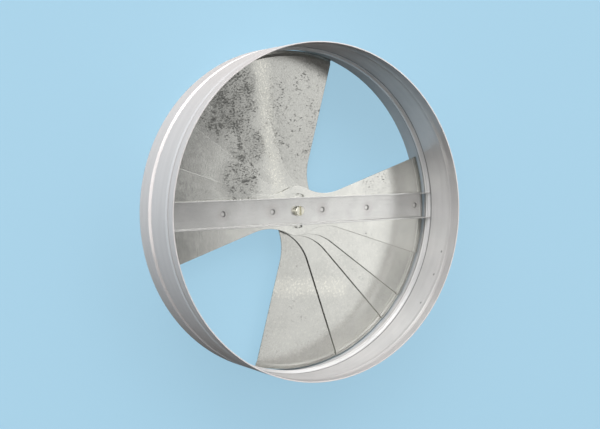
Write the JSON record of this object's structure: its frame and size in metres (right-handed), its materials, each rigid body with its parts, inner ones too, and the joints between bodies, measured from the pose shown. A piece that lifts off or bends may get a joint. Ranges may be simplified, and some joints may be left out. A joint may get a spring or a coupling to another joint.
{
  "type": "round duct damper",
  "caption": "Round duct damper: a short collar holds a crossbar and a fan of bow-tie blades, which a slotted centre shaft turns to open or close the air way.",
  "frame": {"origin": "centre of the collar's lower rim, on the collar's axis", "axes": "+Z along the collar's axis, towards the rim on the crossbar's side; +X along the crossbar"},
  "size_m": [0.248, 0.248, 0.055],
  "materials": {
    "collar_steel": "smooth zinc coat, satin, with bright bead lines",
    "bar_steel": "smooth zinc coat, satin",
    "blade_steel": "zinc coat with spangle, half gloss",
    "spacer_plastic": "natural, matte",
    "shaft_zinc": "cream zinc plate",
    "spring_steel": "plain spring steel"
  },
  "bodies": {
    "collar_assembly": {"collar": "collar_steel", "crossbar": "bar_steel", "fixed_blade": "blade_steel"},
    "second_blade": {"blade_2": "blade_steel", "spacer_1": "spacer_plastic"},
    "third_blade": {"blade_3": "blade_steel", "spacer_2": "spacer_plastic"},
    "fourth_blade": {"blade_4": "blade_steel", "spacer_3": "spacer_plastic"},
    "driven_blade": {"blade_5": "blade_steel", "spacer_4": "spacer_plastic", "drive_shaft": "shaft_zinc", "back_washer": "shaft_zinc", "spring_washer": "spring_steel"}
  },
  "joints": [
    {"name": "blade_2_turn", "type": "hinge", "parent": "collar_assembly", "child": "second_blade", "pos_m": [0, 0, 0.0111], "axis": [0, 0, -1], "range_deg": [-17.9, 18.1]},
    {"name": "blade_3_turn", "type": "hinge", "parent": "second_blade", "child": "third_blade", "pos_m": [0, 0, 0.01], "axis": [0, 0, -1], "range_deg": [-11.2, 24.8]},
    {"name": "blade_4_turn", "type": "hinge", "parent": "third_blade", "child": "fourth_blade", "pos_m": [0, 0, 0.0089], "axis": [0, 0, -1], "range_deg": [-24.1, 11.9]},
    {"name": "shaft_turn", "type": "hinge", "parent": "fourth_blade", "child": "driven_blade", "pos_m": [0, 0, 0.0078], "axis": [0, 0, -1], "range_deg": [-35, 1]}
  ]
}
